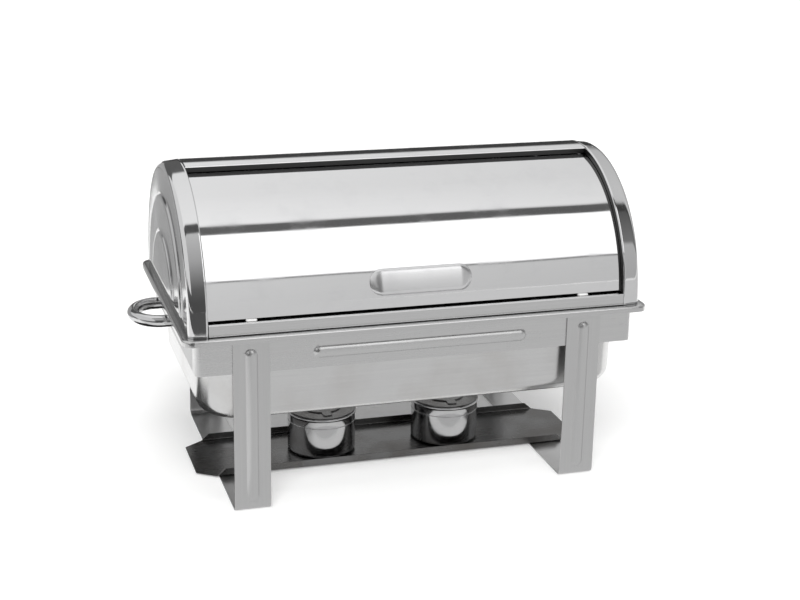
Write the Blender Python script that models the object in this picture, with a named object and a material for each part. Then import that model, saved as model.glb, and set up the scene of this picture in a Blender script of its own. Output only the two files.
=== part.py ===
"""Roll-top chafing dish: a strap-legged stainless stand, a water pan in its rim frame, a food pan,
a lifted-off lid with a rolling front cover, and two fuel burners with swinging shutters.

Frame: metres, +X along the length, -Y towards the user, +Z up. The origin is on the table, under
the middle of the dish. Each sub-part is a sheet-metal or turned solid in an object of its own.
"""

from math import acos, asin, cos, degrees, pi, radians, sin, sqrt

import bmesh
import bpy
from mathutils import Vector

# Driving dimensions of the whole dish.
GAP = 0.0003  # running gap left between two touching pieces
SHEET = 0.0012  # sheet steel of the lid, aprons and pans

RIM_X, RIM_Y, RIM_Z = 0.295, 0.177, 0.228  # half length, half depth and top of the pan rim
RIM_CORNER = 0.014
RIM_LIP = 0.0075  # turned-down edge all round the rim
LEDGE_X, LEDGE_Y, LEDGE_Z = 0.2663, 0.164, 0.2217  # seat for the food pan, inside the rim
WELL_X, WELL_Y = 0.2565, 0.1535  # opening through the rim frame

APRON_X, APRON_Y = 0.279, 0.163
APRON_LOW, APRON_HIGH = 0.1786, 0.2202
END_APRON_HIGH = 0.2265  # the end plates reach up to the underside of the rim
APRON_CORNER = 0.007
APRON_RETURN = 0.024  # how far the front and rear aprons wrap round each corner

LEG_X, LEG_WIDTH, LEG_SHEET = 0.2125, 0.045, 0.0018
LEG_BEND = 0.009
LEG_BEAD_WIDTH, LEG_BEAD_LOW, LEG_BEAD_HIGH = 0.015, 0.012, 0.209
APRON_BEAD_HALF, APRON_BEAD_LOW, APRON_BEAD_HIGH = 0.136, 0.1905, 0.2055
BEAD_RISE = 0.0034

AXIS_Z = 0.2335  # height of the roll axis, which is also the centre of the lid's arch
ARCH_R = 0.1685  # outside of the hoops and of the fixed rear cover
HOOP_IN, HOOP_OUT = 0.2635, 0.287  # inner and outer edge of a hoop along X
HOOP_SIDE_R = 0.158  # the hoop's side wall comes in to this radius
HOOP_SHOULDER = 0.009
HOOP_LIP_R = 0.1609  # the hoop's inner lip comes in to this radius
LID_Z = RIM_Z + GAP  # underside of the lid
OPENING_DEG = 81.8  # where the opening ends and the fixed cover starts, up from the front
ROLL_R = 0.160
ROLL_HALF = 0.264
ROLL_LOW_DEG, ROLL_HIGH_DEG = 4.3, 91.0
RAIL_HEIGHT = 0.0147
COVER_SIDE_X = 0.2617  # inner face of the plates at the ends of the rolling cover

HANDLE_TUBE = 0.00775
HANDLE_ARM = 0.018  # straight length of each arm
HANDLE_Y, HANDLE_Z, HANDLE_TIP = 0.037, 0.2095, 0.337

BURNER_X = 0.086
CUP_R, CUP_TOP = 0.045, 0.0595
TRAY_FLOOR = LEG_SHEET + GAP
TRAY_Y, TRAY_LIP_X, TRAY_FLAP_X = 0.060, 0.236, 0.262
TRAY_LIP = 0.010
SHUTTER_ARM = 0.033  # from the burner's centre to the pin that its shutter turns on

ROUND = 16  # facets of a small turned piece
CUP_FACETS = 28


# ---- materials and object making -------------------------------------------------------------


def steel(name, colour, roughness):
    material = bpy.data.materials.new(name)
    material.use_nodes = True
    shader = material.node_tree.nodes["Principled BSDF"]
    shader.inputs["Base Color"].default_value = (*colour, 1.0)
    shader.inputs["Metallic"].default_value = 1.0
    shader.inputs["Roughness"].default_value = roughness
    return material


def add_object(name, mesh_maker, material, edge_degrees=35):
    """Turns a bmesh into a named object at the origin, with its faces pointing out."""
    bmesh.ops.remove_doubles(mesh_maker, verts=mesh_maker.verts, dist=1e-7)
    bmesh.ops.recalc_face_normals(mesh_maker, faces=mesh_maker.faces)
    mesh = bpy.data.meshes.new(name)
    mesh_maker.to_mesh(mesh)
    mesh_maker.free()
    mesh.shade_smooth()
    mesh.set_sharp_from_angle(angle=radians(edge_degrees))
    mesh.materials.append(material)
    piece = bpy.data.objects.new(name, mesh)
    bpy.context.collection.objects.link(piece)
    return piece


def as_helper(piece):
    piece.hide_render = True
    piece.display_type = "WIRE"
    return piece


def combine(piece, other, operation):
    modifier = piece.modifiers.new(f"{operation.lower()} {other.name}", "BOOLEAN")
    modifier.operation = operation
    modifier.solver = "EXACT"
    modifier.object = as_helper(other)


# ---- outlines and solids ---------------------------------------------------------------------


def arc(cx, cy, radius, start, end, steps):
    """Points on an arc, in degrees, both ends included."""
    turn = (end - start) / steps
    return [
        (cx + radius * cos(radians(start + turn * i)), cy + radius * sin(radians(start + turn * i)))
        for i in range(steps + 1)
    ]


def rounded_rectangle(half_x, half_y, radius, steps=5):
    centres = [(1, 1, 0), (-1, 1, 90), (-1, -1, 180), (1, -1, 270)]
    points = []
    for sign_x, sign_y, start in centres:
        cx, cy = sign_x * (half_x - radius), sign_y * (half_y - radius)
        points += arc(cx, cy, radius, start, start + 90, steps)
    return points


def offset_strip(path, thickness):
    """Outline of a sheet of this thickness, on the left of an open path."""
    normals = []
    for here, there in zip(path, path[1:]):
        along = Vector(there) - Vector(here)
        normals.append(Vector((-along.y, along.x)).normalized())
    inner = []
    for i, point in enumerate(path):
        before, after = normals[max(i - 1, 0)], normals[min(i, len(normals) - 1)]
        mitre = (before + after).normalized()
        inner.append(tuple(Vector(point) + mitre * (thickness / mitre.dot(before))))
    return path + inner[::-1]


def loft(rings, closed=False):
    """Skins a list of equal rings. An open stack gets a cap at each end, a closed one joins up."""
    maker = bmesh.new()
    loops = [[maker.verts.new(point) for point in ring] for ring in rings]
    pairs = list(zip(loops, loops[1:]))
    if closed:
        pairs.append((loops[-1], loops[0]))
    else:
        maker.faces.new(loops[0])
        maker.faces.new(loops[-1])
    for low, high in pairs:
        for i in range(len(low)):
            j = (i + 1) % len(low)
            maker.faces.new((low[i], low[j], high[j], high[i]))
    return maker


def prism(outline, along, start, end):
    """Extrudes an outline along X, Y or Z. The outline is in the other two axes, in X, Y, Z order."""
    index = "XYZ".index(along)

    def place(point, at):
        full = list(point)
        full.insert(index, at)
        return full

    return loft([[place(point, at) for point in outline] for at in (start, end)])


def lathe(profile, centre, along="Z", steps=ROUND):
    """Turns an (r, height) profile about an axis. Its ends are on the axis, or the profile is closed."""
    rings = []
    for radius, height in profile:
        ring = []
        for i in range(steps):
            u, v = radius * cos(2 * pi * i / steps), radius * sin(2 * pi * i / steps)
            point = (u, v, height) if along == "Z" else (height, u, v)
            ring.append(Vector(centre) + Vector(point))
        rings.append(ring)
    return rings


def over_lid(section, start, end, steps, drop_start=0.0, drop_end=0.0):
    """Sweeps an (x, r) section about the roll axis, with straight ends that drop to the rim."""
    places = [(start + (end - start) * i / steps, 0.0) for i in range(steps + 1)]
    if drop_start:
        places.insert(0, (start, drop_start))
    if drop_end:
        places.append((end, drop_end))
    return loft([[on_arch(x, r, angle, drop) for x, r in section] for angle, drop in places])


def on_arch(x, radius, angle, drop=0.0):
    """A point at this radius from the roll axis, angle in degrees up from the front."""
    return x, -radius * cos(radians(angle)), AXIS_Z + radius * sin(radians(angle)) - drop


def bead(name, length, width, rise):
    """A pressed half-round bead along X as a solid ridge, rooted a little way into its sheet."""
    root, spine = 0.0006, length / 2 - width / 2
    outline = arc(spine, 0, width / 2, -90, 90, 6) + arc(-spine, 0, width / 2, 90, 270, 6)
    rings = [[(x, y, -root) for x, y in outline]]
    for tilt in (0, 25, 50, 75):
        narrow, height = cos(radians(tilt)), rise * sin(radians(tilt))
        middles = [max(-spine, min(spine, x)) for x, _ in outline]
        rings.append([(m + (x - m) * narrow, y * narrow, height) for (x, y), m in zip(outline, middles)])
    return add_object(name, loft(rings), STEEL_SATIN)


# ---- the stand: legs, aprons, handles and tray ------------------------------------------------


def add_leg(name, side):
    """One strap bent into a U: rear leg, foot along the table, front leg, with a bead up each leg."""
    y, top = APRON_Y + GAP + LEG_SHEET, APRON_HIGH
    path = [(-y, top)]
    path += arc(-y + LEG_BEND, LEG_BEND, LEG_BEND, 180, 270, 5)
    path += arc(y - LEG_BEND, LEG_BEND, LEG_BEND, 270, 360, 5)
    path.append((y, top))
    outline = offset_strip(path, LEG_SHEET)
    low, high = side * LEG_X - LEG_WIDTH / 2, side * LEG_X + LEG_WIDTH / 2
    leg = add_object(name, prism(outline, "X", low, high), STEEL_SATIN)
    length, middle = LEG_BEAD_HIGH - LEG_BEAD_LOW, (LEG_BEAD_HIGH + LEG_BEAD_LOW) / 2
    for end, turn in (("front", -90), ("rear", 90)):
        ridge = bead(f"{name}_{end}_bead", length, LEG_BEAD_WIDTH, BEAD_RISE)
        ridge.rotation_euler = (0, radians(90), radians(turn))
        ridge.location = (side * LEG_X, -y if end == "front" else y, middle)
        combine(leg, ridge, "UNION")


def add_long_apron(name, side):
    """The front or rear apron: a flat face wrapped round both corners, with a long pressed bead."""
    y, turn_x = side * APRON_Y, APRON_X - APRON_CORNER
    start = 180 if side < 0 else 0
    path = [(side * APRON_X, y - side * APRON_RETURN)]
    path += arc(side * turn_x, y - side * APRON_CORNER, APRON_CORNER, start, start + 90, 4)
    path += arc(-side * turn_x, y - side * APRON_CORNER, APRON_CORNER, start + 90, start + 180, 4)
    path.append((-side * APRON_X, y - side * APRON_RETURN))
    outline = offset_strip(path, SHEET)
    apron = add_object(name, prism(outline, "Z", APRON_LOW, APRON_HIGH), STEEL_SATIN)
    ridge = bead(f"{name}_bead", 2 * APRON_BEAD_HALF, APRON_BEAD_HIGH - APRON_BEAD_LOW, BEAD_RISE)
    ridge.rotation_euler = (radians(90 if side < 0 else -90), 0, 0)
    ridge.location = (0, y, (APRON_BEAD_LOW + APRON_BEAD_HIGH) / 2)
    combine(apron, ridge, "UNION")


def add_end_apron(name, side):
    """A flat end plate between the returns of the long aprons, drilled for the handle's screws."""
    half = APRON_Y - APRON_RETURN - GAP
    outer, inner = side * APRON_X, side * (APRON_X - SHEET)
    outline = [(-half, APRON_LOW), (half, APRON_LOW), (half, END_APRON_HIGH), (-half, END_APRON_HIGH)]
    plate = add_object(name, prism(outline, "X", inner, outer), STEEL_SATIN)
    for y in (-HANDLE_Y, HANDLE_Y):
        drill = loft(lathe([(0.0030, -0.01), (0.0030, 0.01)], (outer, y, HANDLE_Z), "X", 12))
        combine(plate, add_object(f"{name}_drill_{y:+.3f}", drill, STEEL_SATIN), "DIFFERENCE")


def add_handle(name, side):
    """A round bar bent into a D, its two arms square to the end apron, tapped for one screw each."""
    straight = APRON_X + HANDLE_ARM
    reach = HANDLE_TIP - HANDLE_TUBE - straight
    path = [(APRON_X + GAP, -HANDLE_Y)]
    for i in range(15):
        turn = -pi / 2 + pi * i / 14
        path.append((straight + reach * cos(turn), HANDLE_Y * sin(turn)))
    path.append((APRON_X + GAP, HANDLE_Y))
    rings = []
    for i, (x, y) in enumerate(path):
        before, after = path[max(i - 1, 0)], path[min(i + 1, len(path) - 1)]
        along = Vector((after[0] - before[0], after[1] - before[1])).normalized()
        across = Vector((along.y, -along.x))
        ring = []
        for k in range(12):
            turn = 2 * pi * k / 12
            out = across * HANDLE_TUBE * cos(turn)
            ring.append((side * (x + out.x), y + out.y, HANDLE_Z + HANDLE_TUBE * sin(turn)))
        rings.append(ring)
    handle = add_object(name, loft(rings), STEEL_POLISHED)
    for y in (-HANDLE_Y, HANDLE_Y):
        tapped = loft(lathe([(0.0028, -0.005), (0.0028, 0.012)], (0, y, HANDLE_Z), "X", 12))
        bore = add_object(f"{name}_bore_{y:+.3f}", tapped, STEEL_POLISHED)
        bore.location.x = side * APRON_X - (0.007 if side < 0 else 0)
        combine(handle, bore, "DIFFERENCE")


def add_handle_screw(name, side, y):
    """A pan-head screw from inside the apron into the end of a handle's arm."""
    head_r, shank_r = 0.0055, 0.0025
    face = APRON_X - SHEET - GAP
    profile = [(head_r * 0.6, face - 0.0028), (head_r, face - 0.0016), (head_r, face)]
    profile += [(shank_r, face), (shank_r, APRON_X + 0.009), (shank_r * 0.6, APRON_X + 0.010)]
    if side < 0:
        profile = [(radius, -x) for radius, x in profile]
    add_object(name, loft(lathe(profile, (0, y, HANDLE_Z), "X", 16)), STEEL_SATIN)


def add_tray():
    """A shallow tray that lies on both foot straps: upturned long edges, flat chamfered end flaps."""
    low, high = TRAY_FLOOR, TRAY_FLOOR + SHEET
    chamfer, flap_half = 0.022, 0.042
    floor = [(-TRAY_LIP_X, -TRAY_Y), (TRAY_LIP_X, -TRAY_Y), (TRAY_FLAP_X, -flap_half)]
    floor += [(TRAY_FLAP_X, flap_half), (TRAY_LIP_X, TRAY_Y), (-TRAY_LIP_X, TRAY_Y)]
    floor += [(-TRAY_FLAP_X, flap_half), (-TRAY_FLAP_X, -flap_half)]
    tray = add_object("burner_tray", prism(floor, "Z", low, high), STEEL_DARK)
    slope = TRAY_LIP_X - chamfer / 2
    lip = [(-TRAY_LIP_X, low), (TRAY_LIP_X, low), (slope, low + TRAY_LIP), (-slope, low + TRAY_LIP)]
    for name, y in (("front", -TRAY_Y), ("rear", TRAY_Y - SHEET)):
        wall = add_object(f"tray_{name}_lip", prism(lip, "Y", y, y + SHEET), STEEL_DARK)
        combine(tray, wall, "UNION")


# ---- the pans ---------------------------------------------------------------------------------


def ring_at(half_x, half_y, radius, z):
    return [(x, y, z) for x, y in rounded_rectangle(half_x, half_y, radius)]


def add_rim_frame():
    """The frame on top of the stand: turned-down lip, flat land for the lid, ledge for the food pan."""
    t, top, low = SHEET, RIM_Z, RIM_Z - RIM_LIP
    step, land = RIM_CORNER / 7, LEDGE_X + 0.0007
    outside = [
        (RIM_X, RIM_Y, RIM_CORNER, low),
        (RIM_X, RIM_Y, RIM_CORNER, top - step),
        (RIM_X - step * 0.3, RIM_Y - step * 0.3, RIM_CORNER, top - step * 0.3),
        (RIM_X - step, RIM_Y - step, RIM_CORNER, top),
        (land, LEDGE_Y + 0.0007, 0.012, top),
        (LEDGE_X, LEDGE_Y, 0.012, LEDGE_Z),
        (WELL_X, WELL_Y, 0.020, LEDGE_Z),
    ]
    inside = [
        (WELL_X, WELL_Y, 0.020, LEDGE_Z - t),
        (LEDGE_X + t, LEDGE_Y + t, 0.012, LEDGE_Z - t),
        (land + t, LEDGE_Y + 0.0007 + t, 0.012, top - t),
        (RIM_X - t - step * 0.5, RIM_Y - t - step * 0.5, RIM_CORNER, top - t),
        (RIM_X - t, RIM_Y - t, RIM_CORNER, top - t - step * 0.5),
        (RIM_X - t, RIM_Y - t, RIM_CORNER, low),
    ]
    add_object("pan_rim_frame", loft([ring_at(*r) for r in outside + inside], closed=True), STEEL_SATIN)


def add_pan(name, flange, body, floor, wall, material):
    """A drawn pan. flange, body and floor are (half_x, half_y, corner, z); wall is its thickness."""
    bend = body[3] - floor[3]
    curve = []
    for turn in (0, 30, 60, 90):
        inset = bend * (1 - cos(radians(turn)))
        z = body[3] - bend * sin(radians(turn))
        curve.append((floor[0] + bend - inset, floor[1] + bend - inset, body[2] - inset * 0.4, z))
    inside = [(x - wall, y - wall, r, z + wall * i / 3) for i, (x, y, r, z) in enumerate(curve)]
    top_x, top_y, corner, _ = body
    brim = [(top_x - wall, top_y - wall, corner, flange[3]), flange]
    brim += [(*flange[:3], flange[3] - wall), (top_x, top_y, corner, flange[3] - wall)]
    rings = [ring_at(*level) for level in inside[::-1] + brim + curve]
    add_object(name, loft(rings), material)


# ---- the lid ----------------------------------------------------------------------------------


def mirrored(section, side):
    return [(side * x, r) for x, r in section]


def add_hoop(name, side):
    """The arch at one end: inner lip, slightly crowned band, rounded shoulder and side wall."""
    path = [(HOOP_IN, HOOP_LIP_R), (HOOP_IN, ARCH_R - 0.0015), (HOOP_IN + 0.0015, ARCH_R)]
    crown = HOOP_OUT - HOOP_SHOULDER
    path += [
        (crown + HOOP_SHOULDER * sin(radians(turn)), ARCH_R - HOOP_SHOULDER * (1 - cos(radians(turn))))
        for turn in range(0, 91, 18)
    ]
    path.append((HOOP_OUT, HOOP_SIDE_R))
    section = mirrored(offset_strip(path[::-1], SHEET), side)
    drop = AXIS_Z - LID_Z
    add_object(name, over_lid(section, 0, 180, 30, drop, drop), STEEL_POLISHED)


def dee(radius, base, x, steps=24):
    """A D on its back at this x: an arc about the roll axis down to a straight lower edge."""
    low = degrees(asin((base - AXIS_Z) / radius))
    points = []
    for i in range(steps + 1):
        points.append(on_arch(x, radius, low + (180 - 2 * low) * i / steps))
    return points


def add_end_panel(name, side):
    """The closed end of the lid: a D-shaped plate with two raised steps, each a smaller D."""
    radius, base = HOOP_SIDE_R - GAP, LID_Z
    steps = [
        (radius, base, 0.0),
        (0.1265, base + 0.012, 0.0),
        (0.1240, base + 0.014, 0.0035),
        (0.0800, base + 0.020, 0.0035),
        (0.0775, base + 0.022, 0.0063),
    ]
    outside = [dee(r, low, side * (HOOP_OUT + rise)) for r, low, rise in steps]
    inside = [dee(r, low, side * (HOOP_OUT + rise - SHEET)) for r, low, rise in steps]
    add_object(name, loft(inside[::-1] + outside), STEEL_POLISHED)


def add_fixed_covers():
    """The rear quarter of the lid, and the rail along the top of the opening."""
    half, drop = HOOP_IN - GAP, AXIS_Z - LID_Z
    shell = [(-half, ARCH_R), (half, ARCH_R), (half, ARCH_R - SHEET), (-half, ARCH_R - SHEET)]
    rail_end = OPENING_DEG + 6.2
    add_object("rear_cover", over_lid(shell, rail_end + 0.11, 180, 20, 0, drop), STEEL_POLISHED)
    path = [(HOOP_LIP_R, OPENING_DEG), (ARCH_R - 0.001, OPENING_DEG)]
    path += [(ARCH_R, OPENING_DEG + 0.35), (ARCH_R, OPENING_DEG + 3.2), (ARCH_R, rail_end)]
    flat = [(on_arch(0, r, angle)[1], on_arch(0, r, angle)[2]) for r, angle in path]
    add_object("top_rail", prism(offset_strip(flat[::-1], SHEET), "X", -half, half), STEEL_POLISHED)


def add_rails():
    """The sill under the rolling cover, and the angle that stiffens the rear cover's lower edge."""
    half, y, low = HOOP_IN - GAP, ARCH_R, LID_Z
    sill = [(-y + 0.013, low), (-y, low), (-y, low + RAIL_HEIGHT), (-y + 0.011, low + RAIL_HEIGHT)]
    outline = offset_strip(sill[::-1], SHEET)
    add_object("front_sill", prism(outline, "X", -half, half), STEEL_SATIN)
    inner = ARCH_R - SHEET - GAP
    angle = [(inner - 0.011, low), (inner, low), (inner, low + 0.012)]
    add_object("rear_stiffener", prism(offset_strip(angle, SHEET), "X", -half, half), STEEL_SATIN)
    top = low + RAIL_HEIGHT + GAP
    for name, x in (("left_cover_bumper", -0.211), ("right_cover_bumper", 0.211)):
        block = [(x + u, -ROLL_R + 0.0005 + v) for u, v in rounded_rectangle(0.0065, 0.0035, 0.0015, 3)]
        high = AXIS_Z + (ROLL_R - SHEET) * sin(radians(ROLL_LOW_DEG)) - GAP
        add_object(name, prism(block, "Z", top, high), NYLON)


def add_roll_cover():
    """The front cover, a quarter of a drum that rolls back under the fixed rear cover."""
    inner = ROLL_R - SHEET
    shell = [(-ROLL_HALF, ROLL_R), (ROLL_HALF, ROLL_R), (ROLL_HALF, inner), (-ROLL_HALF, inner)]
    add_object("roll_cover", over_lid(shell, ROLL_LOW_DEG, ROLL_HIGH_DEG, 18), STEEL_POLISHED)


def add_grip():
    """A pressed pull on the rolling cover: a long stadium that swells out of the curved face."""
    middle, half_x, half_s = 15.7, 0.065, 0.0165
    levels = [(0.0, 0.90, 0.05), (0.0, 0.94, 0.55), (0.0, 1.0, 1.0), (0.0020, 0.985, 0.96)]
    levels += [(0.0045, 0.93, 0.86), (0.0063, 0.84, 0.74), (0.0067, 0.78, 0.60), (0.0067, 0.72, 0.05)]
    rings = []
    for rise, grow_x, grow_s in levels:
        radius = ROLL_R + GAP + rise
        end = half_s * grow_s
        outline = arc(half_x * grow_x - end, 0, end, -90, 90, 8)
        outline += arc(-half_x * grow_x + end, 0, end, 90, 270, 8)
        rings.append([on_arch(x, radius, middle + degrees(s / ROLL_R)) for x, s in outline])
    add_object("roll_cover_grip", loft(rings), STEEL_POLISHED)


def add_cover_side(name, side):
    """The quarter-round plate that closes one end of the rolling cover and carries it on its pivot."""
    reach, hub, bore = ROLL_R - SHEET - GAP, 0.009, 0.0044
    start, end = ROLL_LOW_DEG + 0.6, ROLL_HIGH_DEG - 0.6
    polar = [(reach, start + (end - start) * i / 16) for i in range(17)]
    polar += [(hub, end + 8 + (360 - end + start - 16) * i / 12) for i in range(13)]
    rings = []
    for x in (side * COVER_SIDE_X, side * (COVER_SIDE_X + SHEET)):
        outer = [on_arch(x, r, angle) for r, angle in polar]
        inner = [on_arch(x, bore, angle) for r, angle in polar]
        rings.append((outer, inner))
    add_object(name, loft([rings[0][0], rings[1][0], rings[1][1], rings[0][1]], closed=True), STEEL_SATIN)


def add_pivot(side_name, side):
    """One end of the roll axis: a stud welded inside the end panel, a washer and a lock nut."""
    axis = (0, 0, AXIS_Z)
    base = HOOP_OUT - SHEET - GAP

    def turned(name, profile, material, steps=ROUND, closed=False):
        flipped = [(radius, side * x) for radius, x in profile]
        add_object(name, loft(lathe(flipped, axis, "X", steps), closed), material)

    stud = [(0.0050, base), (0.0050, 0.2648), (0.0040, 0.2648), (0.0040, 0.2545), (0.0034, 0.2538)]
    turned(f"{side_name}_pivot_stud", stud, STEEL_SATIN)
    washer = [(0.0043, 0.2632), (0.0080, 0.2632), (0.0080, 0.2645), (0.0043, 0.2645)]
    turned(f"{side_name}_pivot_washer", washer, NYLON, closed=True)
    nut = [(0.0050, 0.2614), (0.0078, 0.2614), (0.0078, 0.2562), (0.0068, 0.2556), (0.0050, 0.2556)]
    turned(f"{side_name}_pivot_nut", nut, STEEL_SATIN, steps=6, closed=True)


# ---- the burners ------------------------------------------------------------------------------


def add_burner(side_name, side):
    """A fuel cup with a rolled edge, its drop-in cover ring, and a shutter that swings on a rivet."""
    x, floor = side * BURNER_X, TRAY_FLOOR + SHEET + GAP
    wall = 0.0012
    cup = [(CUP_R - 0.004, floor), (CUP_R - 0.0012, floor + 0.0012), (CUP_R, floor + 0.004)]
    cup += [(CUP_R, CUP_TOP - 0.004), (CUP_R + 0.0014, CUP_TOP - 0.0032), (CUP_R + 0.0018, CUP_TOP - 0.0015)]
    cup += [(CUP_R + 0.0010, CUP_TOP), (CUP_R - wall, CUP_TOP), (CUP_R - wall, floor + 0.005)]
    cup.append((CUP_R - wall - 0.003, floor + wall))
    turned = loft(lathe(cup, (x, 0, 0), "Z", CUP_FACETS))
    add_object(f"{side_name}_burner_cup", turned, STEEL_POLISHED)

    low, mouth, skirt = CUP_TOP + GAP, 0.022, CUP_R - wall - GAP
    cover = [(mouth, low), (mouth, low + SHEET), (CUP_R, low + SHEET), (CUP_R, low)]
    cover += [(skirt, low), (skirt, low - 0.006), (skirt - SHEET, low - 0.006), (skirt - SHEET, low)]
    ring = add_object(f"{side_name}_burner_cover", loft(lathe(cover, (x, 0, 0), "Z", CUP_FACETS), True), STEEL_SATIN)
    drill = loft(lathe([(0.0030, 0.0), (0.0030, 0.08)], (x, SHUTTER_ARM, 0), "Z", 12))
    combine(ring, add_object(f"{side_name}_rivet_hole", drill, STEEL_SATIN), "DIFFERENCE")

    plate_low = low + SHEET + GAP
    plate = prism(shutter_outline(x), "Z", plate_low, plate_low + SHEET)
    shutter = add_object(f"{side_name}_burner_shutter", plate, STEEL_POLISHED)
    second = loft(lathe([(0.0030, 0.0), (0.0030, 0.08)], (x, SHUTTER_ARM, 0), "Z", 12))
    combine(shutter, add_object(f"{side_name}_shutter_hole", second, STEEL_SATIN), "DIFFERENCE")

    top = plate_low + SHEET + GAP
    rivet = [(0.0042, low - GAP - 0.0012), (0.0042, low - GAP), (0.0027, low - GAP), (0.0027, top)]
    rivet += [(0.0050, top), (0.0044, top + 0.0012), (0.0022, top + 0.0020)]
    add_object(f"{side_name}_shutter_rivet", loft(lathe(rivet, (x, SHUTTER_ARM, 0), "Z", 16)), STEEL_SATIN)


def shutter_outline(x):
    """A disc over the burner's mouth, drawn in to a round eye at its rivet, with a finger tab."""
    disc, eye, tab = 0.0255, 0.0075, 0.006
    lean = degrees(acos((disc - eye) / SHUTTER_ARM))
    points = arc(x, SHUTTER_ARM, eye, 90 - lean, 90 + lean, 6)
    reach = sqrt(disc * disc - tab * tab)
    start = degrees(asin(tab / disc))
    points += arc(x, 0, disc, 90 + lean, 270 - start, 10)
    points += [(x - tab, -reach - 0.010), (x - tab + 0.002, -reach - 0.012)]
    points += [(x + tab - 0.002, -reach - 0.012), (x + tab, -reach - 0.010)]
    points += arc(x, 0, disc, 270 + start, 450 - lean, 10)
    return points


# ---- build ------------------------------------------------------------------------------------

for leftover in list(bpy.data.objects):
    bpy.data.objects.remove(leftover)

STEEL_POLISHED = steel("polished_steel", (0.80, 0.80, 0.80), 0.10)
STEEL_SATIN = steel("satin_steel", (0.68, 0.68, 0.68), 0.32)
STEEL_DARK = steel("tray_steel", (0.42, 0.42, 0.42), 0.30)
NYLON = steel("white_nylon", (0.85, 0.85, 0.83), 0.45)
NYLON.node_tree.nodes["Principled BSDF"].inputs["Metallic"].default_value = 0.0

SIDES = (("left", -1), ("right", 1))

for side_name, side in SIDES:
    add_leg(f"{side_name}_leg_strap", side)
    add_end_apron(f"{side_name}_end_apron", side)
    add_handle(f"{side_name}_handle", side)
    for place, y in (("front", -HANDLE_Y), ("rear", HANDLE_Y)):
        add_handle_screw(f"{side_name}_{place}_handle_screw", side, y)
add_long_apron("front_apron", -1)
add_long_apron("rear_apron", 1)
add_tray()

add_rim_frame()
add_pan(
    "water_pan",
    flange=(0.276, 0.1605, 0.020, LEDGE_Z - SHEET - GAP),
    body=(0.2715, 0.1535, 0.045, 0.134),
    floor=(0.2465, 0.1275, 0.035, 0.110),
    wall=SHEET,
    material=STEEL_SATIN,
)
add_pan(
    "food_pan",
    flange=(0.265, 0.1625, 0.018, LEDGE_Z + GAP + 0.001),
    body=(0.252, 0.149, 0.050, 0.172),
    floor=(0.232, 0.129, 0.045, 0.160),
    wall=0.001,
    material=STEEL_SATIN,
)

for side_name, side in SIDES:
    add_hoop(f"{side_name}_arch_hoop", side)
    add_end_panel(f"{side_name}_end_panel", side)
    add_cover_side(f"{side_name}_cover_side", side)
    add_pivot(side_name, side)
    add_burner(side_name, side)
add_fixed_covers()
add_rails()
add_roll_cover()
add_grip()
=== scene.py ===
from math import asin, ceil, cos, degrees, hypot, pi, radians, sin, sqrt

import bmesh
import bpy
from mathutils import Matrix, Vector


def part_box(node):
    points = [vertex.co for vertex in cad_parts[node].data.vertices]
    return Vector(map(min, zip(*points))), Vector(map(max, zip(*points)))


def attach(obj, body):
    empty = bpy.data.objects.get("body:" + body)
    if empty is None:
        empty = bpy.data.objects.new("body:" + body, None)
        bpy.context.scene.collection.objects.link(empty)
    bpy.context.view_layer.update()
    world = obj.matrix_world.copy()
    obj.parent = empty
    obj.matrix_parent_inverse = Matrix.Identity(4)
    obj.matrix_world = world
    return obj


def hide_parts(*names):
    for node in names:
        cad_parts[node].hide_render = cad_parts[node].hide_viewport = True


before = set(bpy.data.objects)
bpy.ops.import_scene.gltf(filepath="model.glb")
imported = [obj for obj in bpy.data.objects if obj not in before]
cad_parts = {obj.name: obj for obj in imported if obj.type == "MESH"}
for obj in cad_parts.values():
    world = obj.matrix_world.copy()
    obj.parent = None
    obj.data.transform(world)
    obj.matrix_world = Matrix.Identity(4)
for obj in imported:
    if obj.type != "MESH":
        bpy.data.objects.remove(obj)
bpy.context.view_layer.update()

# ---- camera --------------------------------------------------------------------------------------
# A long lens well back from the dish, to the left of its middle and a little above the lid,
# turned about one degree on its own axis.

azimuth, elevation, roll = radians(-17.075), radians(17.803), radians(1.03)
back = Vector((sin(azimuth) * cos(elevation), -cos(azimuth) * cos(elevation), sin(elevation)))
level = (-back).cross(Vector((0, 0, 1))).normalized()
upright = level.cross(-back)
camera = bpy.data.objects.new("camera", bpy.data.cameras.new("camera"))
bpy.context.scene.collection.objects.link(camera)
camera.data.lens = 70.034
camera.data.sensor_width = 36
placed = Matrix((
    level * cos(roll) + upright * sin(roll),
    upright * cos(roll) - level * sin(roll),
    back,
)).transposed().to_4x4()
placed.translation = Vector((-0.5542, -1.8716, 0.8297))
camera.matrix_world = placed
bpy.context.scene.camera = camera
bpy.context.scene.view_settings.view_transform = "Standard"


# ---- studio --------------------------------------------------------------------------------------
# A wide pale floor and one soft key light from over the camera. Long light panels hang in front of
# and above the dish, with dark gaps between them, and polished steel mirrors them.


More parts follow.
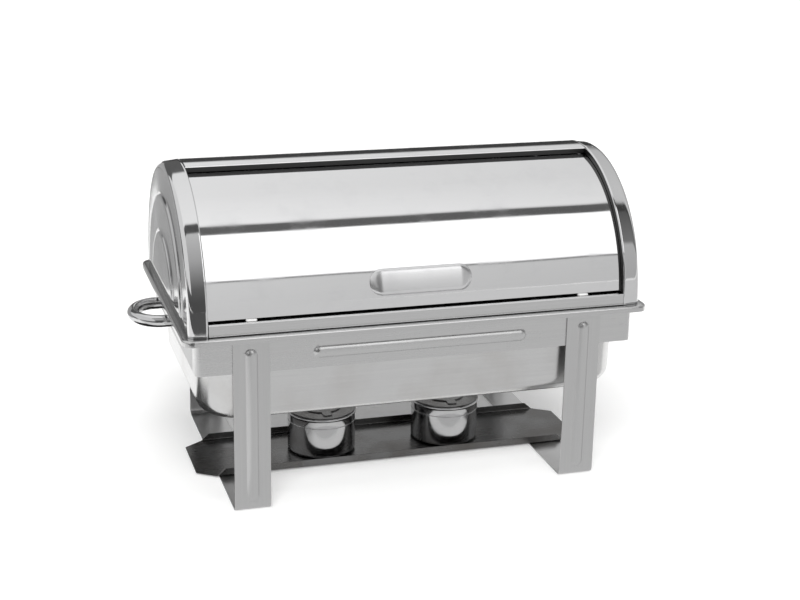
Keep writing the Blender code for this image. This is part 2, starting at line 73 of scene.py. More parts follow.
class Feed:
    """A socket of a node tree. A sum on feeds adds the Math nodes that work it out."""

    def __init__(self, tree, socket=None):
        self.tree, self.socket = tree, socket

    def node(self, kind, settings=(), sockets=(), output=0):
        """Adds a node of this type: its settings first, then a value or a feed for each socket."""
        made = self.tree.nodes.new(kind)
        for setting, value in dict(settings).items():
            if setting == "stops":
                for extra in range(len(value) - 2):
                    made.color_ramp.elements.new(0.5)
                for stop, (place, shade) in zip(made.color_ramp.elements, value):
                    stop.position, stop.color = place, (shade, shade, shade, 1)
            else:
                setattr(made, setting, value)
        for name, value in dict(sockets).items():
            if isinstance(value, Feed):
                self.tree.links.new(value.socket, made.inputs[name])
            else:
                made.inputs[name].default_value = value
        return Feed(self.tree, made.outputs[output] if made.outputs else None)

    def maths(self, operation, first, second):
        return self.node("ShaderNodeMath", {"operation": operation}, {0: first, 1: second})

    def __add__(self, other):
        return self.maths("ADD", self, other)

    def __sub__(self, other):
        return self.maths("SUBTRACT", self, other)

    def __rsub__(self, other):
        return self.maths("SUBTRACT", other, self)

    def __mul__(self, other):
        return self.maths("MULTIPLY", self, other)

    def __truediv__(self, other):
        return self.maths("DIVIDE", self, other)

    def __gt__(self, other):
        return self.maths("GREATER_THAN", self, other)

    def __lt__(self, other):
        return self.maths("LESS_THAN", self, other)

    __radd__, __rmul__ = __add__, __mul__


world = bpy.data.worlds.new("studio")
bpy.context.scene.world = world
world.use_nodes = True
world.node_tree.nodes.clear()
room = Feed(world.node_tree)
looking = room.node("ShaderNodeTexCoord", output="Generated")
across, deep, high = (
    room.node("ShaderNodeSeparateXYZ", sockets={0: looking}, output=axis) for axis in "XYZ"
)
# A turn about the long axis: up from the front horizon, over the top and down to the rear one.
turned = room.maths("ARCTAN2", high, deep * -1) / (2 * pi) + 0.5
# Each light panel as (degrees up from the front horizon, brightness).
in_front = [
    (-180, 0.10), (-60, 0.60), (-5, 0.70), (22.6, 0.74), (22.9, 0.16), (24.2, 0.16), (24.5, 1.60),
    (67.0, 1.60), (67.3, 0.14), (75.7, 0.14), (76.0, 1.04), (110, 0.92), (160, 0.90), (163, 0.06),
    (180, 0.06),
]
to_the_left = [
    (-180, 0.09), (8, 0.09), (19, 0.14), (43, 0.48), (66.8, 0.66), (67.3, 0.10), (75.7, 0.10),
    (76.0, 1.05), (138, 0.95), (141, 0.13), (180, 0.12),
]
to_the_right = [
    (-180, 0.40), (0, 0.50), (33, 0.55), (36, 0.22), (66.8, 0.12), (67.3, 0.05), (75.7, 0.05),
    (76.0, 0.75), (150, 0.60), (163, 0.10), (180, 0.10),
]
front, left, right = (
    room.node(
        "ShaderNodeValToRGB",
        {"stops": [((turn + 180) / 360, shade) for turn, shade in panels]},
        {"Fac": turned},
    )
    for panels in (in_front, to_the_left, to_the_right)
)
is_left, is_right = across < 0.10, across > 0.46
strip = (across < -0.45) * (high > 0.22)
sides = left * is_left * (1 - strip) + right * is_right + strip * 0.85
light = front * (1 - is_left) * (1 - is_right) * (1.12 - across * 0.5) + sides
glow = room.node("ShaderNodeBackground", sockets={"Strength": light, "Color": (1, 1, 1, 1)})
room.node("ShaderNodeOutputWorld", sockets={"Surface": glow})

key = bpy.data.objects.new("key_light", bpy.data.lights.new("key_light", "SUN"))
key.data.angle = radians(34)
key.data.energy = 2.1
key.location = (-0.62, -2.03, 2.12)
key.rotation_euler = key.location.to_track_quat("Z", "Y").to_euler()
key.visible_glossy = False
key.visible_camera = False
bpy.context.scene.collection.objects.link(key)


def level_board(low_x, high_x, low_y, high_y, z):
    """The corners of a level rectangle."""
    return [(low_x, low_y, z), (high_x, low_y, z), (high_x, high_y, z), (low_x, high_y, z)]


FLOOR_REACH, FLOOR_Z = 40, -0.0002
floor_mesh = bpy.data.meshes.new("floor")
corners = level_board(-FLOOR_REACH, FLOOR_REACH, -FLOOR_REACH, FLOOR_REACH, FLOOR_Z)
floor_mesh.from_pydata(corners, [], [(0, 1, 2, 3)])
floor = bpy.data.objects.new("floor", floor_mesh)
bpy.context.scene.collection.objects.link(floor)


def blank_material(name):
    """A material with no nodes yet, and the feed that adds them."""
    material = bpy.data.materials.new(name)
    material.use_nodes = True
    material.node_tree.nodes.clear()
    return material, Feed(material.node_tree)


def matt_surface(name, tone, roughness, speck, lit_from_below=0.0):
    """A dull finish with faint mottling: an opal board, or moulded nylon."""
    material, paint = blank_material(name)
    spot = paint.node("ShaderNodeTexCoord", output="Object")
    mottle = paint.node("ShaderNodeTexNoise", sockets={"Vector": spot, "Scale": speck, "Detail": 4})
    colour = paint.node(
        "ShaderNodeMix",
        {"data_type": "RGBA"},
        {
            "Factor": mottle,
            6: (tone * 0.97, tone * 0.97, tone * 0.96, 1),
            7: (tone, tone, tone, 1),
        },
        output=2,
    )
    dent = paint.node(
        "ShaderNodeBump", sockets={"Height": mottle, "Strength": 0.1, "Distance": 0.0002}
    )
    shader = paint.node(
        "ShaderNodeBsdfPrincipled",
        sockets={
            "Base Color": colour,
            "Roughness": mottle * 0.1 + roughness,
            "Normal": dent,
            "Emission Strength": lit_from_below,
            "Emission Color": (1, 1, 1, 1),
        },
    )
    paint.node("ShaderNodeOutputMaterial", sockets={"Surface": shader})
    return material


floor_mesh.materials.append(matt_surface("pale_floor", 0.86, 0.85, 40, lit_from_below=0.22))


def side_card(name, corners, light):
    """A plain board that the camera doesn't see and that lights nothing: only steel mirrors it."""
    mesh = bpy.data.meshes.new(name)
    mesh.from_pydata(corners, [], [(0, 1, 2, 3)])
    card = bpy.data.objects.new(name, mesh)
    bpy.context.scene.collection.objects.link(card)
    material, board = blank_material(name)
    lit = board.node("ShaderNodeEmission", sockets={"Color": (light, light, light, 1)})
    board.node("ShaderNodeOutputMaterial", sockets={"Surface": lit})
    mesh.materials.append(material)
    for ray in ("camera", "diffuse", "shadow"):
        setattr(card, f"visible_{ray}", False)
    return card


side_card(
    "rear_left_card",
    [(-1.6, 0.75, 0.0), (-0.36, 0.75, 0.0), (-0.36, 0.75, 0.5), (-1.6, 0.75, 0.5)],
    0.42,
)
CARD_Z = 0.0006  # the level cards lie just over the floor
for name, low_x, high_x, low_y, high_y, shade in (
    ("front_card", -0.27, 9.0, -39.0, -0.12, 0.72),
    ("left_front_card", -9.0, -0.272, -39.0, -0.84, 0.10),
    ("left_card", -9.0, -0.272, -0.83, -0.13, 0.95),
    ("handle_card", -0.58, -0.24, -0.12, 0.2, 0.04),
):
    side_card(name, level_board(low_x, high_x, low_y, high_y, CARD_Z), shade)

# A black flag under the rear half of the dish keeps the floor there in its shade.
flag = side_card("shade_flag", level_board(-0.25, 0.25, 0.04, 0.26, 0.105), 0.0)
flag.visible_glossy = False
flag.visible_diffuse = flag.visible_shadow = True


# ---- legs ----------------------------------------------------------------------------------------
# Two flat straps of brushed stainless steel. Each is bent into a U that makes a rear leg, a foot and
# a front leg, with a half-round bead pressed up each leg. The legs are spot welded to the aprons.


def brushed_steel(name, tone, roughness, grain=(6, 420, 420), dull=0.0):
    """Satin steel: fine lines along one way, slow smudges, and a few stray scratches."""
    material, steel = blank_material(name)
    spot = steel.node("ShaderNodeTexCoord", output="Object")
    drawn = steel.node("ShaderNodeVectorMath", {"operation": "MULTIPLY"}, {0: spot, 1: grain})
    lines = steel.node(
        "ShaderNodeTexNoise", sockets={"Vector": drawn, "Scale": 1.0, "Detail": 6, "Roughness": 0.72}
    )
    smudge = steel.node("ShaderNodeTexNoise", sockets={"Vector": spot, "Scale": 14, "Detail": 5})
    strays = steel.node(
        "ShaderNodeTexNoise", sockets={"Vector": spot, "Scale": 130, "Detail": 8, "Roughness": 0.8}
    )
    stain = steel.node(
        "ShaderNodeValToRGB", {"stops": [(0.42, 0), (0.68, 1)]}, {"Fac": smudge}
    )
    shade = lines * 0.6 + strays * 0.15 + smudge * 0.25
    colour = steel.node(
        "ShaderNodeMix",
        {"data_type": "RGBA"},
        {
            "Factor": shade,
            6: (tone * 0.86, tone * 0.86, tone * 0.87, 1),
            7: (tone * 1.12, tone * 1.12, tone * 1.11, 1),
        },
        output=2,
    )
    heated = steel.node(
        "ShaderNodeMix",
        {"data_type": "RGBA", "blend_type": "MULTIPLY"},
        {"Factor": stain * dull, 6: colour, 7: (0.62, 0.58, 0.54, 1)},
        output=2,
    )
    dent = steel.node(
        "ShaderNodeBump",
        sockets={"Height": lines + strays * 0.25, "Strength": 0.14, "Distance": 0.00012},
    )
    shader = steel.node(
        "ShaderNodeBsdfPrincipled",
        sockets={
            "Base Color": heated,
            "Metallic": 1.0,
            "Roughness": lines * 0.10 + smudge * 0.14 + (roughness - 0.12),
            "Normal": dent,
        },
    )
    steel.node("ShaderNodeOutputMaterial", sockets={"Surface": shader})
    return material


def as_piece(name, points, faces, material, edge=32, rounding=0.0):
    """A named piece from points and faces: smooth, with crisp folds and slightly broken edges."""
    maker = bmesh.new()
    verts = [maker.verts.new(point) for point in points]
    for face in faces:
        maker.faces.new([verts[i] for i in face])
    bmesh.ops.remove_doubles(maker, verts=maker.verts, dist=1e-6)
    bmesh.ops.recalc_face_normals(maker, faces=maker.faces)
    mesh = bpy.data.meshes.new(name)
    maker.to_mesh(mesh)
    maker.free()
    mesh.shade_smooth()
    mesh.set_sharp_from_angle(angle=radians(edge))
    mesh.materials.append(material)
    piece = bpy.data.objects.new(name, mesh)
    bpy.context.scene.collection.objects.link(piece)
    if rounding:
        broken = piece.modifiers.new("broken edges", "BEVEL")
        broken.width, broken.segments = rounding, 2
        broken.angle_limit = radians(50)
        broken.harden_normals = True
    return piece


def walk(path):
    """Each point of a bent line, with the normal on its right and how far along it lies."""
    turns = []
    for here, there in zip(path, path[1:]):
        along = Vector(there) - Vector(here)
        turns.append((Vector((along.y, -along.x)).normalized(), along.length))
    found, far = [], 0.0
    for i, point in enumerate(path):
        before, after = turns[max(i - 1, 0)][0], turns[min(i, len(turns) - 1)][0]
        mitre = (before + after).normalized()
        found.append((Vector(point), mitre / mitre.dot(before), far))
        far += turns[i][1] if i < len(turns) else 0
    return found


def sheet(path, widths, thickness, place, rise):
    """Points and faces of one bent sheet. It is pressed out of its face by rise(distance, width)."""
    steps = walk(path)
    points = []
    for under in (0, thickness):
        for point, normal, far in steps:
            for width in widths:
                at = point + normal * (rise(far, width) - under)
                points.append(place(at.x, at.y, width))
    rows, columns = len(steps), len(widths)
    lower = rows * columns
    faces = []
    for i in range(rows - 1):
        for j in range(columns - 1):
            a, b = i * columns + j, (i + 1) * columns + j
            faces += [(a, a + 1, b + 1, b), (lower + a, lower + b, lower + b + 1, lower + a + 1)]
    border = list(range(columns)) + [i * columns + columns - 1 for i in range(1, rows)]
    border += [lower - 1 - j for j in range(1, columns)]
    border += [i * columns for i in range(rows - 2, 0, -1)]
    for a, b in zip(border, border[1:] + border[:1]):
        faces.append((a, b, lower + b, lower + a))
    return points, faces


def spread(start, end, pitch):
    """Evenly spaced values from start to end, no further apart than the pitch."""
    count = max(1, ceil(abs(end - start) / pitch))
    return [start + (end - start) * i / count for i in range(count + 1)]


def arc(cx, cy, radius, start, end, steps):
    turn = (end - start) / steps
    return [
        (cx + radius * cos(radians(start + turn * i)), cy + radius * sin(radians(start + turn * i)))
        for i in range(steps + 1)
    ]


def pressed_bead(along, across, half_length, half_width, height):
    """How far a half-round pressed bead stands up at this place, measured from its middle."""
    beyond = max(0.0, abs(along) - (half_length - half_width))
    off = hypot(beyond, across) / half_width
    return height * (1 - off * off) ** 0.8 if off < 1 else 0.0


LEG_BEND, LEG_SHEET = 0.009, 0.0018
BEAD_HEIGHT, BEAD_HALF_WIDTH, BEAD_SPACE = 0.0033, 0.0075, 0.0034
BEAD_LOW, BEAD_HIGH = 0.012, 0.209


def over_bead(start, middle, end):
    """Places across a sheet, close together over its bead and further apart beside it."""
    near, far = middle - BEAD_HALF_WIDTH, middle + BEAD_HALF_WIDTH
    return spread(start, near, 0.004) + spread(near, far, 0.0009)[1:] + spread(far, end, 0.004)[1:]


satin_upright = brushed_steel("satin_steel_upright", 0.58, 0.31, grain=(420, 420, 6))

for side in ("left", "right"):
    low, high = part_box(f"{side}_leg_strap")
    face = high.y - BEAD_SPACE
    path = [(face, z) for z in spread(high.z, LEG_BEND, 0.0016)[:-1]]
    path += arc(face - LEG_BEND, LEG_BEND, LEG_BEND, 0, -90, 10)
    path += [(y, 0) for y in spread(face - LEG_BEND, LEG_BEND - face, 0.02)[1:-1]]
    path += arc(LEG_BEND - face, LEG_BEND, LEG_BEND, 270, 180, 10)
    path += [(-face, z) for z in spread(LEG_BEND, high.z, 0.0016)[1:]]
    whole = walk(path)[-1][2]
    middle = high.z - (BEAD_LOW + BEAD_HIGH) / 2
    half_bead = (BEAD_HIGH - BEAD_LOW) / 2
    centre = (low.x + high.x) / 2

    def leg_bead(far, width):
        down = min(far, whole - far) - middle
        return pressed_bead(down, width - centre, half_bead, BEAD_HALF_WIDTH, BEAD_HEIGHT)

    points, faces = sheet(
        [(-y, z) for y, z in path],
        over_bead(low.x, centre, high.x),
        LEG_SHEET,
        lambda y, z, x: (x, y, z),
        leg_bead,
    )
    leg = as_piece(f"{side}_leg", points, faces, satin_upright, rounding=0.00035)
    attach(leg, "stand")
    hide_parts(f"{side}_leg_strap")


# ---- aprons --------------------------------------------------------------------------------------
# The skirt of the stand: a long brushed sheet at the front and the rear, each with one bead pressed
# along it and its ends wrapped round the corners, and a flat plate between them at each end.

APRON_SHEET, APRON_CORNER = 0.0012, 0.007
APRON_BEAD_HALF, APRON_BEAD_Z = 0.136, 0.198
BEAD_END_IN, BEAD_END_OUT = APRON_BEAD_HALF - 0.01, APRON_BEAD_HALF + 0.004
satin_long = brushed_steel("satin_steel_long", 0.60, 0.28, grain=(6, 420, 420))

for place_name, sign in (("front", -1), ("rear", 1)):
    low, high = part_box(f"{place_name}_apron")
    outer = max(abs(low.y), abs(high.y)) - BEAD_SPACE
    end = min(abs(low.y), abs(high.y))
    bend_x, bend_y = high.x - APRON_CORNER, outer - APRON_CORNER
    path = [(low.x, -y) for y in spread(end, bend_y, 0.006)[:-1]]
    path += arc(-bend_x, -bend_y, APRON_CORNER, 180, 270, 8)
    flat = spread(-bend_x, -BEAD_END_OUT, 0.02)[1:-1]
    flat += spread(-BEAD_END_OUT, -BEAD_END_IN, 0.001)
    flat += spread(-BEAD_END_IN, BEAD_END_IN, 0.01)[1:-1]
    flat += spread(BEAD_END_IN, BEAD_END_OUT, 0.001)
    flat += spread(BEAD_END_OUT, bend_x, 0.02)[1:-1]
    path += [(x, -outer) for x in flat]
    path += arc(bend_x, -bend_y, APRON_CORNER, 270, 360, 8)
    path += [(high.x, -y) for y in spread(bend_y, end, 0.006)[1:]]
    half_way = walk(path)[-1][2] / 2
    points, faces = sheet(
        path,
        over_bead(low.z, APRON_BEAD_Z, high.z),
        APRON_SHEET,
        lambda x, y, z: (x, -sign * y, z),
        lambda far, z: pressed_bead(
            far - half_way, z - APRON_BEAD_Z, APRON_BEAD_HALF, BEAD_HALF_WIDTH, BEAD_HEIGHT
        ),
    )
    apron = as_piece(f"{place_name}_skirt", points, faces, satin_long, rounding=0.0003)
    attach(apron, "stand")
    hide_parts(f"{place_name}_apron")


def refinish(node_name, material):
    """Gives this finish to a piece that keeps its plain shape."""
    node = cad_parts[node_name]
    node.data.materials.clear()
    node.data.materials.append(material)


satin_deep = brushed_steel("satin_steel_across", 0.44, 0.34, grain=(420, 6, 420))
for side in ("left", "right"):
    refinish(f"{side}_end_apron", satin_deep)


# ---- carrying handles ----------------------------------------------------------------------------
# A round polished bar at each end, bent into a D and held by two pan-head screws that come through
# the end plate from the inside.


def polished_steel(name, tone, roughness):
    """Mirror-polished steel: hairline scratches, finger marks, and a very slight waviness."""
    material, steel = blank_material(name)
    spot = steel.node("ShaderNodeTexCoord", output="Object")
    waves = steel.node("ShaderNodeTexNoise", sockets={"Vector": spot, "Scale": 9, "Detail": 1})
    marks = steel.node(
        "ShaderNodeTexNoise", sockets={"Vector": spot, "Scale": 22, "Detail": 6, "Roughness": 0.6}
    )
    smear = steel.node("ShaderNodeValToRGB", {"stops": [(0.5, 0), (0.72, 1)]}, {"Fac": marks})
    drawn = steel.node(
        "ShaderNodeVectorMath", {"operation": "MULTIPLY"}, {0: spot, 1: (14, 900, 900)}
    )
    hairs = steel.node("ShaderNodeTexNoise", sockets={"Vector": drawn, "Scale": 1, "Detail": 3})
    colour = steel.node(
        "ShaderNodeMix",
        {"data_type": "RGBA"},
        {
            "Factor": smear * 0.5 + hairs * 0.5,
            6: (tone, tone, tone * 1.005, 1),
            7: (tone * 0.93, tone * 0.93, tone * 0.94, 1),
        },
        output=2,
    )
    dent = steel.node(
        "ShaderNodeBump",
        sockets={"Height": waves + hairs * 0.004, "Strength": 0.12, "Distance": 0.004},
    )
    shader = steel.node(
        "ShaderNodeBsdfPrincipled",
        sockets={
            "Base Color": colour,
            "Metallic": 1.0,
            "Roughness": smear * 0.07 + hairs * 0.03 + roughness,
            "Normal": dent,
        },
    )
    steel.node("ShaderNodeOutputMaterial", sockets={"Surface": shader})
    return material


def skin(rings, closed=False):
    """Points and faces over a stack of equal rings. An open stack is capped, a closed one joins up."""
    size = len(rings[0])
    points = [point for ring in rings for point in ring]
    faces = []
    for k in range(len(rings) if closed else len(rings) - 1):
        near, far = k * size, ((k + 1) % len(rings)) * size
        for i in range(size):
            j = (i + 1) % size
            faces.append((near + i, near + j, far + j, far + i))
    if not closed:
        faces.append(tuple(range(size)))
        faces.append(tuple(range(len(points) - size, len(points))))
    return points, faces


polished = polished_steel("polished_steel_bright", 0.62, 0.06)
BAR, BAR_HALF_Y = 0.00765, 0.037

for side, sign in (("left", -1), ("right", 1)):
    low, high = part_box(f"{side}_handle")
    near, tip = sorted((abs(low.x), abs(high.x)))
    bar_z = (low.z + high.z) / 2
    straight = near + 0.0177
    reach = tip - 0.0001 - BAR - straight
    path = [(x, -BAR_HALF_Y) for x in spread(near, straight, 0.004)[:-1]]
    path += [
        (straight + reach * cos(radians(turn)), BAR_HALF_Y * sin(radians(turn)))
        for turn in range(-90, 91, 4)
    ]
    path += [(x, BAR_HALF_Y) for x in spread(straight, near, 0.004)[1:]]
    rings = []
    for i, (point, normal, far) in enumerate(walk(path)):
        thin = BAR - (0.0008 if i in (0, len(path) - 1) else 0)
        ring = []
        for turn in range(0, 360, 10):
            out = point + normal.normalized() * thin * cos(radians(turn))
            ring.append((sign * out.x, out.y, bar_z + thin * sin(radians(turn))))
        rings.append(ring)
    bar = as_piece(f"{side}_handle_bar", *skin(rings), polished, edge=60)
    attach(bar, "stand")
    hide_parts(f"{side}_handle")
    for end in ("front", "rear"):
        refinish(f"{side}_{end}_handle_screw", satin_deep)


# ---- burner tray ---------------------------------------------------------------------------------
# One shallow tray that lies across both foot straps. Its long edges are folded up, its ends are
# flat flaps with their corners cut off, and its steel has a very dark tone with a brownish mottling.

TRAY_SHEET, TRAY_BEND, FLAP_HALF, LIP_X, LIP_SLOPE = 0.0012, 0.0022, 0.042, 0.236, 0.011
tray_steel = brushed_steel("tray_steel_dark_mottled", 0.15, 0.27, grain=(5, 300, 300), dull=0.8)
low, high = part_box("burner_tray")
bend_y = high.y - TRAY_BEND
path = [(low.y, z) for z in spread(high.z, low.z + TRAY_BEND, 0.002)[:-1]]
path += arc(-bend_y, low.z + TRAY_BEND, TRAY_BEND, 180, 270, 5)
flat = spread(-bend_y, -FLAP_HALF, 0.004)[1:-1] + spread(-FLAP_HALF, FLAP_HALF, 0.012)
flat += spread(FLAP_HALF, bend_y, 0.004)[1:-1]
path += [(y, low.z) for y in flat]
path += arc(bend_y, low.z + TRAY_BEND, TRAY_BEND, 270, 360, 5)
path += [(high.y, z) for z in spread(low.z + TRAY_BEND, high.z, 0.002)[1:]]


def tray_point(y, z, share):
    """The tray gets shorter where its corners are cut, and again up each lip."""
    cut = min(1.0, max(0.0, (abs(y) - FLAP_HALF) / (high.y - FLAP_HALF)))
    reach = high.x - (high.x - LIP_X) * cut
    reach -= LIP_SLOPE * max(0.0, z - low.z - TRAY_SHEET) / (high.z - low.z) if cut > 0.9 else 0
    return share * reach, y, z


tray = as_piece(
    "fuel_tray",
    *sheet(path, spread(-1, 1, 0.05), TRAY_SHEET, tray_point, lambda far, width: 0.0),
    tray_steel,
    rounding=0.0003,
)
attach(tray, "stand")
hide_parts("burner_tray")


# ---- rim frame -----------------------------------------------------------------------------------
# The frame that closes the top of the stand. Its outer edge is rolled down all round, and the flat
# land that carries the lid drops to a narrow ledge for the food pan. It is soldered to the water pan.

RIM_CORNER, RIM_SHEET, RIM_ROLL = 0.014, 0.0012, 0.0030


def rounded_ring(half_x, half_y, corner, z, steps=12):
    """A level ring of points: a rectangle with round corners, its long sides split evenly."""
    points = []
    for sign_x, sign_y, start in ((1, 1, 0), (-1, 1, 90), (-1, -1, 180), (1, -1, 270)):
        points += arc(
            sign_x * (half_x - corner), sign_y * (half_y - corner), corner, start, start + 90, steps
        )
    ring = []
    for i, (x, y) in enumerate(points):
        ring.append((x, y, z))
        if i % (steps + 1) == steps:
            next_x, next_y = points[(i + 1) % len(points)]
            for k in range(1, 12):
                ring.append((x + (next_x - x) * k / 12, y + (next_y - y) * k / 12, z))
    return ring


low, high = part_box("pan_rim_frame")
rim_x, rim_y, rim_top, rim_low = high.x, high.y, high.z, low.z
land_x, land_y = 0.267, 0.1647
ledge_x, ledge_y, ledge_z = 0.2663, 0.164, 0.2217
well_x, well_y = 0.2565, 0.1535
levels = [(rim_x, rim_y, RIM_CORNER, rim_low)]
for turn in range(0, 91, 15):
    inset = RIM_ROLL * (1 - cos(radians(turn)))
    up = rim_top - RIM_ROLL * (1 - sin(radians(turn)))
    levels.append((rim_x - inset, rim_y - inset, RIM_CORNER - inset * 0.6, up))
levels += [
    (land_x + 0.0012, land_y + 0.0012, 0.0130, rim_top),
    (land_x + 0.0003, land_y + 0.0003, 0.0122, rim_top - 0.0004),
    (land_x, land_y, 0.012, rim_top - 0.0012),
    (ledge_x, ledge_y, 0.012, ledge_z + 0.0008),
    (ledge_x - 0.0008, ledge_y - 0.0008, 0.0125, ledge_z),
    (well_x, well_y, 0.020, ledge_z),
    (well_x, well_y, 0.020, ledge_z - RIM_SHEET),
    (ledge_x + RIM_SHEET, ledge_y + RIM_SHEET, 0.012, ledge_z - RIM_SHEET),
    (land_x + RIM_SHEET, land_y + RIM_SHEET, 0.012, rim_top - RIM_SHEET),
    (rim_x - RIM_ROLL, rim_y - RIM_ROLL, RIM_CORNER - 0.0018, rim_top - RIM_SHEET),
    (rim_x - RIM_SHEET, rim_y - RIM_SHEET, RIM_CORNER - 0.001, rim_top - RIM_ROLL),
    (rim_x - RIM_SHEET, rim_y - RIM_SHEET, RIM_CORNER - 0.001, rim_low),
]
satin_rim = brushed_steel("satin_steel_rim", 0.57, 0.18, grain=(8, 420, 420))
rim = as_piece(
    "rim", *skin([rounded_ring(*at) for at in levels], closed=True), satin_rim, edge=40
)
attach(rim, "water_pan_assembly")
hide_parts("pan_rim_frame")


# ---- pans ----------------------------------------------------------------------------------------
# Two drawn pans of thin brushed steel with wide round corners. The deep one holds the hot water and
# hangs from the rim frame, and the shallow one drops into it and rests on the ledge by its brim.

BRIM_WIDE = 0.006  # a brim wider than this has a rounded root below as well


def drawn_pan(name, flange, body, floor_at, wall, material):
    """A pan: flange, body and floor are (half_x, half_y, corner, z), with a round turn to the floor."""
    bend = body[3] - floor_at[3]
    curve = []
    for turn in range(0, 91, 9):
        inset = bend * (1 - cos(radians(turn)))
        z = body[3] - bend * sin(radians(turn))
        curve.append((
            floor_at[0] + bend - inset, floor_at[1] + bend - inset, body[2] - inset * 0.4, z
        ))
    inside = [(x - wall, y - wall, r, z + wall * i / 10) for i, (x, y, r, z) in enumerate(curve)]
    top_x, top_y, corner, _ = body
    lip = 0.0022
    inside.append((top_x - wall, top_y - wall, corner, flange[3] - lip))
    for turn in (30, 60, 90):
        out = lip * (1 - cos(radians(turn)))
        inside.append((
            top_x - wall + out, top_y - wall + out, corner, flange[3] - lip * (1 - sin(radians(turn)))
        ))
    brim = [flange, (*flange[:3], flange[3] - wall)]
    if flange[0] > top_x + BRIM_WIDE:
        brim.append((top_x + lip, top_y + lip, corner, flange[3] - wall))
    outside = [(top_x, top_y, corner, flange[3] - wall - lip)]
    up_inside = inside[: len(curve)][::-1] + inside[len(curve) :]
    rings = [rounded_ring(*at) for at in up_inside + brim + outside + curve]
    return as_piece(name, *skin(rings), material, edge=40)


satin_pan = brushed_steel("satin_steel_pan", 0.66, 0.22, grain=(7, 340, 340), dull=0.25)
water_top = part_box("water_pan")[1].z
pan = drawn_pan(
    "deep_water_pan",
    flange=(0.276, 0.1605, 0.020, water_top),
    body=(0.2715, 0.1535, 0.045, 0.134),
    floor_at=(0.2465, 0.1275, 0.035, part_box("water_pan")[0].z),
    wall=0.0012,
    material=satin_pan,
)
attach(pan, "water_pan_assembly")
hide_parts("water_pan")

satin_food = brushed_steel("satin_steel_food_pan", 0.62, 0.20, grain=(7, 300, 300))
tray_pan = drawn_pan(
    "shallow_food_pan",
    flange=(0.265, 0.1625, 0.018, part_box("food_pan")[1].z),
    body=(0.252, 0.149, 0.050, 0.172),
    floor_at=(0.232, 0.129, 0.045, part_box("food_pan")[0].z),
    wall=0.001,
    material=satin_food,
)
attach(tray_pan, "food_pan_body")
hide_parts("food_pan")


# ---- lid ends ------------------------------------------------------------------------------------
# A polished hoop over each end of the lid, with a crowned band, a rounded shoulder and a turned-in
# inner lip whose inward faces carry a near-black painted shade. The D-shaped plate inside it is
# pressed with two raised steps and soldered all round.

AXIS_Z, LID_Z = 0.2335, 0.2283
HOOP_IN, HOOP_OUT, ARCH_R = 0.2635, 0.287, 0.1685
HOOP_SIDE_R, HOOP_LIP_R, HOOP_SHOULDER, HOOP_CREST = 0.158, 0.1609, 0.009, 0.2655
LID_SHEET = 0.0012


def on_arch(x, radius, angle, drop=0.0):
    """A point at this radius from the roll axis, angle in degrees up from the front."""
    return x, -radius * cos(radians(angle)), AXIS_Z + radius * sin(radians(angle)) - drop


def over_lid(section, start, end, pitch, drop_start=0.0, drop_end=0.0):
    """Sweeps a closed (x, radius) section about the roll axis, with straight legs down to the rim."""
    places = [(angle, 0.0) for angle in spread(start, end, pitch)]
    places = ([(start, drop_start)] if drop_start else []) + places
    places += [(end, drop_end)] if drop_end else []
    return skin([[on_arch(x, r, angle, drop) for x, r in section] for angle, drop in places])


def thick(path, thickness):
    """The closed outline of a sheet of this thickness, on the left of its path."""
    inner = [point - normal * thickness for point, normal, _ in walk(path)]
    return [tuple(point) for point in path] + [tuple(point) for point in inner[::-1]]


polished_lid = polished_steel("polished_steel_lid", 0.72, 0.045)
# The end plates take the lid's polished steel made darker: painted shade for the darker reflections
# that their steps and flats show.
polished_end_painted_darker = polished_steel("polished_steel_end_painted_darker", 0.53, 0.10)
LEAN = 0.125  # how much lower the band lies for each unit nearer its outer edge
shoulder_x = HOOP_OUT - HOOP_SHOULDER
shoulder_r = ARCH_R - LEAN * (shoulder_x - HOOP_CREST)
path = [(HOOP_OUT, HOOP_SIDE_R)]
path += [(HOOP_OUT, r) for r in (HOOP_SIDE_R + 0.0006, ARCH_R - HOOP_SHOULDER)]
for turn in range(9, 82, 9):
    path.append((
        HOOP_OUT - HOOP_SHOULDER * (1 - cos(radians(turn))),
        shoulder_r - (shoulder_r - ARCH_R + HOOP_SHOULDER) * (1 - sin(radians(turn))),
    ))
path += [(x, ARCH_R - LEAN * (x - HOOP_CREST)) for x in spread(0.2765, 0.2665, 0.002)]
path += arc(HOOP_IN + 0.0016, ARCH_R - 0.0016, 0.0016, 90, 180, 5)
path += [(HOOP_IN, ARCH_R - 0.004), (HOOP_IN, HOOP_LIP_R)]
hoop_section = thick(path, LID_SHEET)

# A near-black steel for the hoops' inner lips and the opening rail's wall: painted shade, standing in
# for the shadow in the gap round the rolling cover.
painted_shade_lip = brushed_steel("lip_painted_shade", 0.07, 0.42)


def paint_shade_on_faces(piece, material, chosen):
    """Gives the chosen faces of a piece another material: here a near-black painted shade on walls that
    light hardly reaches.
    """
    piece.data.materials.append(material)
    for face in piece.data.polygons:
        if chosen(face.center, face.normal):
            face.material_index = len(piece.data.materials) - 1


DEE_STEPS = [
    # radius, how far the straight lower edge is above the rim, how far the plate stands out
    (HOOP_SIDE_R - 0.0003, 0.0, 0.0),
    (0.1290, 0.0105, 0.0),
    (0.1272, 0.0118, 0.0003),
    (0.1262, 0.0126, 0.0009),
    (0.1254, 0.0132, 0.0022),
    (0.1246, 0.0138, 0.0031),
    (0.1232, 0.0148, 0.0035),
    (0.1190, 0.0170, 0.0035),
    (0.0850, 0.0180, 0.0035),
    (0.0808, 0.0196, 0.0036),
    (0.0796, 0.0204, 0.0041),
    (0.0788, 0.0210, 0.0049),
    (0.0780, 0.0216, 0.0058),
    (0.0768, 0.0226, 0.0062),
    (0.0740, 0.0246, 0.0062),
]


